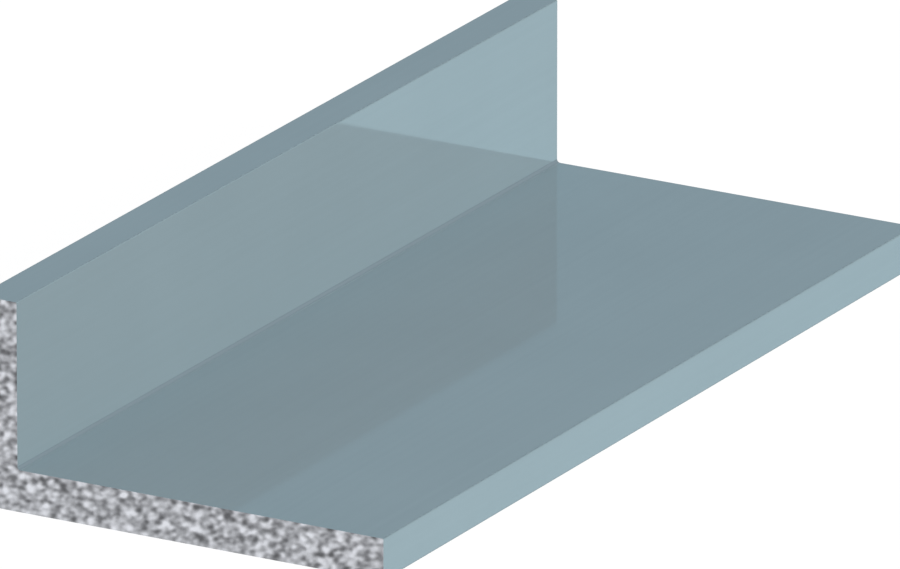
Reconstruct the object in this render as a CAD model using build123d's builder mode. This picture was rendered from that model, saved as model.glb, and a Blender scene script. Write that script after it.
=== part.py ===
from build123d import *
import os

# Unequal-leg metal angle: one extruded length with an L-shaped section, sawn square at both ends.
# It lies on its wide leg, and the narrow leg stands along one side.
# Millimetres. +X runs across the wide leg to its toe, +Y along the length and +Z up the narrow leg.
# The origin is midway along and across, on the underside.

WIDE_LEG = 63.0  # overall, from the heel to the toe of the lying leg
NARROW_LEG = 30.0  # overall, from the underside to the toe of the standing leg
THICKNESS = 6.0  # the same in both legs
LENGTH = 150.0  # between the two sawn ends
ROOT_RADIUS = 0.5  # inside corner where the legs meet, kept tight as the die leaves it
EDGE_RADIUS = 0.15  # the heel and the four toe edges, barely broken

heel_x = -WIDE_LEG / 2
toe_x = WIDE_LEG / 2
inner_x = heel_x + THICKNESS
root = (inner_x, THICKNESS)

with BuildPart() as angle_section:
    # The section as the die draws it, upright across the length.
    with BuildSketch(Plane.XZ) as section:
        with BuildLine():
            Polyline(
                (heel_x, 0),
                (toe_x, 0),
                (toe_x, THICKNESS),
                root,
                (inner_x, NARROW_LEG),
                (heel_x, NARROW_LEG),
                close=True,
            )
        make_face()
        # Five outside corners first, which leaves the root as the vertex nearest its own point.
        outside = section.vertices().sort_by_distance(root)[1:]
        fillet(outside, EDGE_RADIUS)
        inside = section.vertices().sort_by_distance(root)[0]
        fillet(inside, ROOT_RADIUS)
    # Drawn out equally to both sides, so that the sawn ends lie at +Y and -Y.
    extrude(amount=LENGTH / 2, both=True)

angle_section.part.label = "angle_section"

os.makedirs("parts", exist_ok=True)
export_step(angle_section.part, "parts/angle_section.step")
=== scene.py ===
import math

import bpy
import numpy as np
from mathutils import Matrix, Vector
from mathutils.geometry import delaunay_2d_cdt


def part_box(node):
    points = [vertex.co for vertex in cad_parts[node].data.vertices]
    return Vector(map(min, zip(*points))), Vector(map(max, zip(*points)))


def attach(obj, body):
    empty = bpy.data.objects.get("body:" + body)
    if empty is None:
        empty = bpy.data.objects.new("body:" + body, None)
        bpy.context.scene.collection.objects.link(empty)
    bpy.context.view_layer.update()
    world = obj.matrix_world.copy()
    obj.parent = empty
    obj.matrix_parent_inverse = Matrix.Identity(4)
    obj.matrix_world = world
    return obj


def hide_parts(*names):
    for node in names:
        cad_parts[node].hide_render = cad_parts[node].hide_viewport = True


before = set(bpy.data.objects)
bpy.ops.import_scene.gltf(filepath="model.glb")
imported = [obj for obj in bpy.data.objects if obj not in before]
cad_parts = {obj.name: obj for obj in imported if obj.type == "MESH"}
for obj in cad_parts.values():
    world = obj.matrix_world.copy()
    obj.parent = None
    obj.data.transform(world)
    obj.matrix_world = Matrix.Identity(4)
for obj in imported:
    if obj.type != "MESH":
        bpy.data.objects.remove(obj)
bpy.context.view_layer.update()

# A length of unequal-leg metal angle, lying on its wide leg. Metres, in the CAD frame:
# +X across the wide leg to its toe, +Y along the length, +Z up the narrow leg.
# The near end is the one at the lowest Y.
NODE = "angle_section"
PIECE = "dressed_section"

# The section's own sizes, as in the CAD source. Its overall sizes come from the node.
THICKNESS = 0.006
ROOT_RADIUS = 0.0005
EDGE_RADIUS = 0.00015
low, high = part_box(NODE)
inner_x = low.x + THICKNESS
level_z = low.z + THICKNESS

# ---------------------------------------------------------------- outline of the section
ARC_STEPS = 6
RUN_STEP = 0.00016

# How far past an arc's quarter turn, and its radius, a point still counts as on the arc.
ARC_SLACK = 1e-8
ARC_REACH = 1.02

CORNERS = (
    (low.x, low.z, EDGE_RADIUS),
    (high.x, low.z, EDGE_RADIUS),
    (high.x, level_z, EDGE_RADIUS),
    (inner_x, level_z, ROOT_RADIUS),
    (inner_x, high.z, EDGE_RADIUS),
    (low.x, high.z, EDGE_RADIUS),
)


def corner_arc(i):
    """Corner i's arc: its centre, its radius, and the directions into and out of the corner."""
    x, z, radius = CORNERS[i]
    corner = Vector((x, z))
    arriving = (corner - Vector(CORNERS[i - 1][:2])).normalized()
    leaving = (Vector(CORNERS[(i + 1) % len(CORNERS)][:2]) - corner).normalized()
    return corner + (leaving - arriving) * radius, radius, arriving, leaving


def section_outline():
    """The outline as (x, z) points, counter-clockwise as seen from the near end."""
    points = []
    for i in range(len(CORNERS)):
        centre, radius, arriving, leaving = corner_arc(i)
        for step in range(ARC_STEPS + 1):
            turn = math.pi / 2 * step / ARC_STEPS
            arm = arriving * math.sin(turn) - leaving * math.cos(turn)
            points.append(centre + arm * radius)
        x, z, next_radius = CORNERS[(i + 1) % len(CORNERS)]
        start = points[-1]
        end = Vector((x, z)) - leaving * next_radius
        runs = math.ceil((end - start).length / RUN_STEP)
        points += [start.lerp(end, k / runs) for k in range(1, runs)]
    return points


def arc_normal(x, z):
    """The side surface's outward normal at a point of a corner's arc, or None off the arcs."""
    for i in range(len(CORNERS)):
        centre, radius, arriving, leaving = corner_arc(i)
        arm = Vector((x, z)) - centre
        in_quarter = arm.dot(arriving) > -ARC_SLACK and arm.dot(leaving) < ARC_SLACK
        if in_quarter and arm.length < radius * ARC_REACH:
            turns_left = arriving.x * leaving.y - arriving.y * leaving.x > 0
            arm.normalize()
            return arm if turns_left else -arm
    return None


# ---------------------------------------------------------------- grain of the sawn ends
# The cut shows coarse soft lumps, the high ones light and the hollows dark. Millimetres.
MM = 1000.0

# The end's mesh: a triangular grid, with its jitter and its clearance as shares of the grid.
GRID = 0.165
GRID_JITTER = 0.18
GRID_CLEARANCE = 0.55
JOIN_WITHIN = 1e-5

# The random field: the lumps' widths, and how far their rows rise for each step to the toe.
GRAIN_SEED = 41
FIELD_STEP = 0.06
GRAIN_ACROSS = 0.397
GRAIN_UP = 0.290
GRAIN_LEAN = 0.168
GRAIN_EVENNESS = 0.72
GRAIN_FINE = 0.14
GRAIN_LIMIT = 2.6

# Depth in from the cut plane, which fades out within ARRIS of the outline.
RELIEF = 0.030
RELIEF_MEAN = 0.050
ARRIS = 0.45

# Tone from 0 to 1, skewed a little to the dark and eased at both extremes.
GRAIN_TONE = "grain_tone"
TONE_MEAN = 0.676
TONE_SPREAD = 0.117
TONE_SKEW = 0.04
TONE_EASE = 0.02

rng = np.random.default_rng(GRAIN_SEED)
left, right = low.x * MM, high.x * MM
foot, top = low.z * MM, high.z * MM


def depth_inside(x, z):
    """How far points lie inside the section's outline, below 0 outside it."""
    wide_leg = np.minimum.reduce([x - left, right - x, z - foot, level_z * MM - z])
    narrow_leg = np.minimum.reduce([x - left, inner_x * MM - x, z - foot, top - z])
    return np.maximum(wide_leg, narrow_leg)


def grid_points():
    """A jittered triangular grid over the section, clear of its outline."""
    columns = np.arange(left, right, GRID)
    rows = np.arange(foot, top, GRID * math.sqrt(3) / 2)
    x, z = np.meshgrid(columns, rows)
    x[1::2] += GRID / 2
    x += rng.uniform(-1, 1, x.shape) * GRID_JITTER * GRID
    z += rng.uniform(-1, 1, z.shape) * GRID_JITTER * GRID
    clear = depth_inside(x, z) > GRID * GRID_CLEARANCE
    return np.stack([x[clear], z[clear]], 1)


def counter_clockwise(points, triangles):
    """The triangles, each turned over where it runs clockwise."""
    a, b, c = (points[triangles[:, k]] for k in range(3))
    area = (b[:, 0] - a[:, 0]) * (c[:, 1] - a[:, 1]) - (b[:, 1] - a[:, 1]) * (c[:, 0] - a[:, 0])
    turned = triangles.copy()
    turned[area < 0] = turned[area < 0][:, ::-1]
    return turned


def end_layout():
    """The mesh of a sawn end in the section's plane: (x, z) points and index triples."""
    ring = [(p.x * MM, p.y * MM) for p in section_outline()]
    seeds = [Vector(p) for p in ring] + [Vector(p) for p in grid_points()]
    inside = 1
    made = delaunay_2d_cdt(seeds, [], [list(range(len(ring)))], inside, JOIN_WITHIN)
    points = np.array([tuple(p) for p in made[0]])
    return points, counter_clockwise(points, np.array(made[2]))


def lumps(x, z):
    """A smooth random field over the section, of mean 0 and deviation 1, read at the points."""
    lean = GRAIN_LEAN * (right - left)
    rows = int((top - foot + lean) / FIELD_STEP) + 3
    columns = int((right - left) / FIELD_STEP) + 3
    waves_up = np.fft.fftfreq(rows, FIELD_STEP)[:, None]
    waves_across = np.fft.fftfreq(columns, FIELD_STEP)[None, :]
    # White noise through a Gaussian, less most of what a Gaussian twice as wide would
    # leave, which evens the lumps' sizes, and with a little through one half as wide.
    spread = math.pi**2 * ((waves_across * GRAIN_ACROSS) ** 2 + (waves_up * GRAIN_UP) ** 2)
    smooth = np.exp(-2 * spread)
    smooth *= 1 - GRAIN_EVENNESS * np.exp(-8 * spread)
    smooth += GRAIN_FINE * np.exp(-0.5 * spread)
    field = np.fft.ifft2(np.fft.fft2(rng.standard_normal((rows, columns))) * smooth).real
    field = (field - field.mean()) / field.std()
    row = (z - foot + GRAIN_LEAN * (right - x)) / FIELD_STEP
    column = (x - left) / FIELD_STEP
    i, j = row.astype(int), column.astype(int)
    u, v = row - i, column - j
    lower = field[i, j] * (1 - v) + field[i, j + 1] * v
    upper = field[i + 1, j] * (1 - v) + field[i + 1, j + 1] * v
    return lower * (1 - u) + upper * u


def end_relief(points):
    """Depth in from the cut plane and tone from 0 to 1, at each vertex of one end."""
    x, z = points[:, 0], points[:, 1]
    height = np.clip(lumps(x, z), -GRAIN_LIMIT, GRAIN_LIMIT)
    # The relief fades out towards the outline, where the saw leaves a crisp edge.
    held = np.clip(depth_inside(x, z) / ARRIS, 0, 1)
    depth = np.maximum(RELIEF_MEAN - RELIEF * height, 0) * held
    tone = height - TONE_SKEW * height**2 - TONE_EASE * height**3
    return depth, TONE_MEAN + TONE_SPREAD * tone


# ---------------------------------------------------------------- the dressed section
UPRIGHT, LEVEL, SAWN, EDGE, ROOT = range(5)
FLAT_WITHIN = 1e-6


def boundary_loop(triangles):
    """The outer edge of the end's triangles as one loop of vertex numbers, counter-clockwise."""
    sides = [side for a, b, c in triangles.tolist() for side in ((a, b), (b, c), (c, a))]
    known = set(sides)
    follows = {p: q for p, q in sides if (q, p) not in known}
    start = next(iter(follows))
    loop = [start]
    while follows[loop[-1]] != start:
        loop.append(follows[loop[-1]])
    if len(loop) != len(follows):
        raise RuntimeError("the end's outline is not one loop")
    return loop


def averaged_normals(points, triangles):
    """A normal at each point, averaged over the triangles that meet there."""
    a, b, c = (points[triangles[:, k]] for k in range(3))
    facing = np.cross(b - a, c - a)
    total = np.zeros_like(points)
    for k in range(3):
        np.add.at(total, triangles[:, k], facing)
    return total / np.linalg.norm(total, axis=1, keepdims=True)


def side_kind(facing, is_flat, middle):
    """The material of a side face, from where it faces and lies in the section's plane."""
    if is_flat:
        return UPRIGHT if abs(facing.x) > abs(facing.y) else LEVEL
    at_root = (middle - Vector((inner_x, level_z))).length < ROOT_RADIUS
    return ROOT if at_root else EDGE


def side_faces(x, z, loop):
    """The faces that run the whole length: vertices, materials and a normal at each corner."""
    faces, kinds, normals = [], [], []
    for a, b in zip(loop, loop[1:] + loop[:1]):
        start, end = Vector((x[a], z[a])), Vector((x[b], z[b]))
        along = (end - start).normalized()
        facing = Vector((along.y, -along.x))
        is_flat = max(abs(facing.x), abs(facing.y)) > 1 - FLAT_WITHIN
        at_a = facing if is_flat else arc_normal(*start) or facing
        at_b = facing if is_flat else arc_normal(*end) or facing
        faces.append((b, a, a + len(x), b + len(x)))
        kinds.append(side_kind(facing, is_flat, (start + end) / 2))
        normals += [(n.x, 0.0, n.y) for n in (at_b, at_a, at_a, at_b)]
    return faces, kinds, normals


def build_section():
    """One closed mesh: two grained ends, and side faces that run the whole length."""
    points, triangles = end_layout()
    near_depth, near_tone = end_relief(points)
    far_depth, far_tone = end_relief(points)
    x, z = points[:, 0] / MM, points[:, 1] / MM
    near = np.stack([x, low.y + near_depth / MM, z], 1)
    far = np.stack([x, high.y - far_depth / MM, z], 1)
    vertices = np.concatenate([near, far])
    ends = np.concatenate([triangles, triangles[:, ::-1] + len(points)])
    end_normals = averaged_normals(vertices, ends)[ends.ravel()].tolist()
    sides, side_kinds, side_normals = side_faces(x, z, boundary_loop(triangles))
    faces = ends.tolist() + sides

    mesh = bpy.data.meshes.new(PIECE)
    mesh.from_pydata(vertices.tolist(), [], faces)
    mesh.polygons.foreach_set("material_index", [SAWN] * len(ends) + side_kinds)
    mesh.polygons.foreach_set("use_smooth", [True] * len(faces))
    tone = mesh.attributes.new(GRAIN_TONE, "FLOAT", "POINT")
    tone.data.foreach_set("value", np.concatenate([near_tone, far_tone]).astype(np.float32))
    mesh.update()
    mesh.normals_split_custom_set(end_normals + side_normals)
    made = bpy.data.objects.new(PIECE, mesh)
    bpy.context.scene.collection.objects.link(made)
    return made


# ---------------------------------------------------------------- materials
METAL = (0.300, 0.371, 0.396)

# The drawn faces are a dull metal under a thin gloss, which mirrors less in red. The faces
# that stand are given more of it than the ones that lie, and another tint: lit and shaded
# copies of one metal, painted reflection and shade by which way a face points.
UPRIGHT_MIRROR, UPRIGHT_TINT, UPRIGHT_ROUGHNESS = 0.354, (0.02, 0.62, 1.0, 1.0), 0.05
LEVEL_MIRROR, LEVEL_TINT, LEVEL_ROUGHNESS = 0.139, (0.24, 0.66, 1.0, 1.0), 0.055
CURVE_ROUGHNESS = 0.25

# The broken edges are painted darker than the faces beside them, least so in blue: painted
# shade that takes back the light that their curves catch.
EDGE_MIRROR, EDGE_PAINTED_SHADE = 0.05, (0.70, 0.745, 0.765)

# Painted shade in the root's corner, where its curve turns away from level, and how soon
# it does.
ROOT_PAINTED_SHADE = (0.600, 0.615, 0.645, 1.0)
ROOT_TURN = 20.0

# Die lines along the length, with soft clouds of tone over them.
LINE_SCALE, LINE_DETAIL, LINE_ROUGHNESS = 1100.0, 4.0, 0.6
LINE_STRETCH = (1.0, 0.010, 1.0)
CLOUD_SCALE, CLOUD_DETAIL = 45.0, 3.0
TONE_RANGE = (0.6, 1.4)
TONE_VARIATION = 0.025
GLOSS_RANGE = (0.3, 0.7)
GLOSS_VARIATION = 0.2
LINE_BUMP, LINE_DEPTH = 0.5, 1.0e-6

# The cut is bare grey metal, with a finer tooth than the mesh carries.
SAWN_LIGHTEST = (0.994, 1.013, 1.078, 1.0)
SAWN_DARKEST = (0.0, 0.0, 0.0, 1.0)
SAWN_MIRROR, SAWN_ROUGHNESS, SAWN_GLOSS = 0.25, 0.45, 0.2
SAWN_CURVE = 2.2
TOOTH_SCALE, TOOTH_DETAIL = 6000.0, 3.0
TOOTH_RANGE = (0.25, 0.75)
TOOTH_VARIATION = 0.02
TOOTH_BUMP, TOOTH_DEPTH = 0.6, 1.0e-5

WHITE = (1.0, 1.0, 1.0, 1.0)


def clear_tree(owner):
    """Turns nodes on for a material or world and empties its tree."""
    owner.use_nodes = True
    owner.node_tree.nodes.clear()
    return owner.node_tree


def add_node(tree, kind, values=None, **settings):
    """A new node, with its settings and the values of its unlinked inputs."""
    made = tree.nodes.new("ShaderNode" + kind)
    for name, value in settings.items():
        setattr(made, name, value)
    for name, value in (values or {}).items():
        made.inputs[name].default_value = value
    return made


def map_range(tree, source, from_range, to_range):
    """The source's from_range stretched to to_range."""
    limits = dict(zip(("From Min", "From Max", "To Min", "To Max"), from_range + to_range))
    made = add_node(tree, "MapRange", limits)
    tree.links.new(source, made.inputs["Value"])
    return made.outputs["Result"]


def math_node(tree, operation, first, second):
    """A Math node of two inputs, each a number or the output that it takes."""
    made = add_node(tree, "Math", operation=operation)
    for k, value in enumerate((first, second)):
        if isinstance(value, float):
            made.inputs[k].default_value = value
        else:
            tree.links.new(value, made.inputs[k])
    return made.outputs["Value"]


def mix_colours(tree, factor, a, b):
    """Colour a where the factor is 0 and colour b where it is 1."""
    made = add_node(tree, "Mix", {"A": a, "B": b}, data_type="RGBA")
    tree.links.new(factor, made.inputs["Factor"])
    return made.outputs["Result"]


def noise(tree, vector, scale, detail, roughness=0.5):
    """Fractal noise read at the vector, from 0 to 1."""
    made = add_node(
        tree, "TexNoise", {"Scale": scale, "Detail": detail, "Roughness": roughness}
    )
    tree.links.new(vector, made.inputs["Vector"])
    return made.outputs["Fac"]


def bump(tree, shader, height, strength, distance):
    """Gives the shader the height as bump, its full range being the distance in metres."""
    made = add_node(tree, "Bump", {"Strength": strength, "Distance": distance})
    tree.links.new(height, made.inputs["Height"])
    tree.links.new(made.outputs["Normal"], shader.inputs["Normal"])


def new_material(name, values):
    """A material of one Principled shader with the given values: its tree and its shader."""
    material = bpy.data.materials.new(name)
    tree = clear_tree(material)
    out = add_node(tree, "OutputMaterial")
    shader = add_node(tree, "BsdfPrincipled", values)
    tree.links.new(shader.outputs["BSDF"], out.inputs["Surface"])
    return material, tree, shader


def root_shaded(tree, colour):
    """The colour, with painted shade where the root's curve turns away from level."""
    geometry = add_node(tree, "NewGeometry")
    facing = add_node(tree, "SeparateXYZ")
    tree.links.new(geometry.outputs["Normal"], facing.inputs["Vector"])
    level = math_node(tree, "POWER", facing.outputs["Z"], ROOT_TURN)
    shade = mix_colours(tree, level, ROOT_PAINTED_SHADE, WHITE)
    made = add_node(tree, "VectorMath", operation="MULTIPLY")
    tree.links.new(colour, made.inputs[0])
    tree.links.new(shade, made.inputs[1])
    return made.outputs["Vector"]


def drawn_metal(name, mirror, tint, roughness, painted_shade=(1.0, 1.0, 1.0), root=False):
    """Satin metal drawn along Y: faint die lines in tone, gloss and relief."""
    values = {"Metallic": mirror, "Specular IOR Level": 0.0, "Specular Tint": tint}
    material, tree, shader = new_material(name, values)
    place = add_node(tree, "TexCoord").outputs["Object"]
    stretch = add_node(tree, "Mapping", {"Scale": LINE_STRETCH})
    tree.links.new(place, stretch.inputs["Vector"])
    lines = noise(
        tree, stretch.outputs["Vector"], LINE_SCALE, LINE_DETAIL, LINE_ROUGHNESS
    )
    clouds = noise(tree, place, CLOUD_SCALE, CLOUD_DETAIL)
    shade = map_range(tree, math_node(tree, "ADD", lines, clouds), TONE_RANGE, (0.0, 1.0))
    # The base colour times painted_shade, which is painted shade on the edges.
    darker, lighter = (
        (*[c * part * (1 + change) for c, part in zip(METAL, painted_shade)], 1.0)
        for change in (-TONE_VARIATION, TONE_VARIATION)
    )
    colour = mix_colours(tree, shade, darker, lighter)
    if root:
        colour = root_shaded(tree, colour)
    tree.links.new(colour, shader.inputs["Base Color"])

    gloss = (roughness * (1 - GLOSS_VARIATION), roughness * (1 + GLOSS_VARIATION))
    tree.links.new(map_range(tree, lines, GLOSS_RANGE, gloss), shader.inputs["Roughness"])
    bump(tree, shader, lines, LINE_BUMP, LINE_DEPTH)
    return material


def sawn_metal(name):
    """The cut face: the mesh's own tone with a fine tooth over it."""
    values = {
        "Metallic": SAWN_MIRROR,
        "Roughness": SAWN_ROUGHNESS,
        "Specular IOR Level": SAWN_GLOSS,
    }
    material, tree, shader = new_material(name, values)
    tone = add_node(tree, "Attribute", attribute_name=GRAIN_TONE)
    place = add_node(tree, "TexCoord").outputs["Object"]
    tooth = noise(tree, place, TOOTH_SCALE, TOOTH_DETAIL)
    change = map_range(tree, tooth, TOOTH_RANGE, (-TOOTH_VARIATION, TOOTH_VARIATION))
    total = math_node(tree, "ADD", tone.outputs["Fac"], change)
    lightness = math_node(tree, "POWER", total, SAWN_CURVE)
    colour = mix_colours(tree, lightness, SAWN_DARKEST, SAWN_LIGHTEST)
    tree.links.new(colour, shader.inputs["Base Color"])
    bump(tree, shader, tooth, TOOTH_BUMP, TOOTH_DEPTH)
    return material


section = build_section()
# In the order of UPRIGHT, LEVEL, SAWN, EDGE and ROOT.
for material in (
    # metal_upright and metal_level are lit and shaded copies of one metal: painted reflection
    # and shade.
    drawn_metal("metal_upright", UPRIGHT_MIRROR, UPRIGHT_TINT, UPRIGHT_ROUGHNESS),
    drawn_metal("metal_level", LEVEL_MIRROR, LEVEL_TINT, LEVEL_ROUGHNESS),
    sawn_metal("metal_sawn"),
    # metal_edge carries painted shade on the broken edges.
    drawn_metal("metal_edge", EDGE_MIRROR, LEVEL_TINT, CURVE_ROUGHNESS, EDGE_PAINTED_SHADE),
    # metal_root carries painted shade in the inner corner.
    drawn_metal("metal_root", LEVEL_MIRROR, LEVEL_TINT, CURVE_ROUGHNESS, root=True),
):
    section.data.materials.append(material)
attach(section, "root")
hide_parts(NODE)

# ---------------------------------------------------------------- floor, world and light
FLOOR_SIZE = 40.0
FLOOR_DROP = 0.00005
FLOOR_GREY = (0.48, 0.48, 0.48, 1.0)
FLOOR_SHADOW = 0.20
FLOOR_WHITE = 1.18
WORLD_FILL = (0.352, 0.36, 0.382, 1.0)

# A sun's irradiance on a surface that faces each axis, 1 being what shows white as white.
KEY_IRRADIANCE = Vector((0.905, -0.53, 0.43))
KEY_COLOUR = (1.0, 1.0, 0.98)
KEY_ANGLE = 45.0
FILL_IRRADIANCE = Vector((-0.35, 0.35, 0.0))
FILL_COLOUR = (1.0, 1.0, 1.0)
FILL_ANGLE = 8.0


def seen_factor(tree):
    """1 for camera, glossy and transmission rays, which see the plain white ground."""
    rays = add_node(tree, "LightPath").outputs
    seen = math_node(tree, "MAXIMUM", rays["Is Camera Ray"], rays["Is Glossy Ray"])
    return math_node(tree, "MAXIMUM", seen, rays["Is Transmission Ray"])


def make_floor():
    """A white floor that keeps part of the object's shadow."""
    half = FLOOR_SIZE / 2
    z = low.z - FLOOR_DROP
    corners = [(-half, -half, z), (half, -half, z), (half, half, z), (-half, half, z)]
    mesh = bpy.data.meshes.new("floor")
    mesh.from_pydata(corners, [], [(0, 1, 2, 3)])
    floor = bpy.data.objects.new("floor", mesh)
    bpy.context.scene.collection.objects.link(floor)
    material = bpy.data.materials.new("floor_white")
    tree = clear_tree(material)
    out = add_node(tree, "OutputMaterial")
    paint = add_node(tree, "BsdfDiffuse", {"Color": FLOOR_GREY})
    white = add_node(tree, "Emission", {"Strength": FLOOR_WHITE})
    mix = add_node(tree, "MixShader")
    share = math_node(tree, "MULTIPLY", seen_factor(tree), 1.0 - FLOOR_SHADOW)
    tree.links.new(share, mix.inputs["Fac"])
    tree.links.new(paint.outputs["BSDF"], mix.inputs[1])
    tree.links.new(white.outputs["Emission"], mix.inputs[2])
    tree.links.new(mix.outputs["Shader"], out.inputs["Surface"])
    mesh.materials.append(material)
    return floor


def make_world():
    """A dim even light on the object, seen as white by the camera and in reflections."""
    world = bpy.data.worlds.new("studio")
    bpy.context.scene.world = world
    tree = clear_tree(world)
    out = add_node(tree, "OutputWorld")
    ground = add_node(tree, "Background")
    colour = mix_colours(tree, seen_factor(tree), WORLD_FILL, WHITE)
    tree.links.new(colour, ground.inputs["Color"])
    tree.links.new(ground.outputs["Background"], out.inputs["Surface"])


def make_sun(name, irradiance, colour, angle):
    """A sun of the given irradiance that leaves no mirror image of itself."""
    light = bpy.data.lights.new(name, "SUN")
    light.energy = irradiance.length * math.pi
    light.color = colour
    light.angle = math.radians(angle)
    sun = bpy.data.objects.new(name, light)
    sun.visible_glossy = False
    sun.rotation_mode = "QUATERNION"
    sun.rotation_quaternion = irradiance.to_track_quat("Z", "Y")
    bpy.context.scene.collection.objects.link(sun)


make_floor()
make_world()
make_sun("key", KEY_IRRADIANCE, KEY_COLOUR, KEY_ANGLE)
make_sun("fill", FILL_IRRADIANCE, FILL_COLOUR, FILL_ANGLE)

# ---------------------------------------------------------------- camera
# Nearly parallel projection: a long lens from far off. Degrees and metres, the aim being
# given to the right of the object's middle and above it.
CAMERA_AZIMUTH = 29.405
CAMERA_ELEVATION = 18.889
CAMERA_DISTANCE = 3.4343
AIM_RIGHT = -0.00043
AIM_UP = -0.00048
LENS_MM, SENSOR_MM = 1000.0, 36.0
CLIP_START, CLIP_END = 0.1, 100.0


def make_camera():
    """The scene's camera, looking from above the near end over the wide leg."""
    azimuth, elevation = math.radians(CAMERA_AZIMUTH), math.radians(CAMERA_ELEVATION)
    back = Vector(
        (
            math.sin(azimuth) * math.cos(elevation),
            -math.cos(azimuth) * math.cos(elevation),
            math.sin(elevation),
        )
    )
    to_right = Vector((0, 0, 1)).cross(back).normalized()
    upward = back.cross(to_right)
    data = bpy.data.cameras.new("camera")
    data.lens = LENS_MM
    data.sensor_width = SENSOR_MM
    data.clip_start = CLIP_START
    data.clip_end = CLIP_END
    camera = bpy.data.objects.new("camera", data)
    camera.rotation_mode = "QUATERNION"
    camera.rotation_quaternion = (-back).to_track_quat("-Z", "Y")
    aim = (low + high) / 2 + to_right * AIM_RIGHT + upward * AIM_UP
    camera.location = aim + back * CAMERA_DISTANCE
    bpy.context.scene.collection.objects.link(camera)
    bpy.context.scene.camera = camera


make_camera()
bpy.context.scene.view_settings.view_transform = "Standard"

bpy.context.view_layer.update()
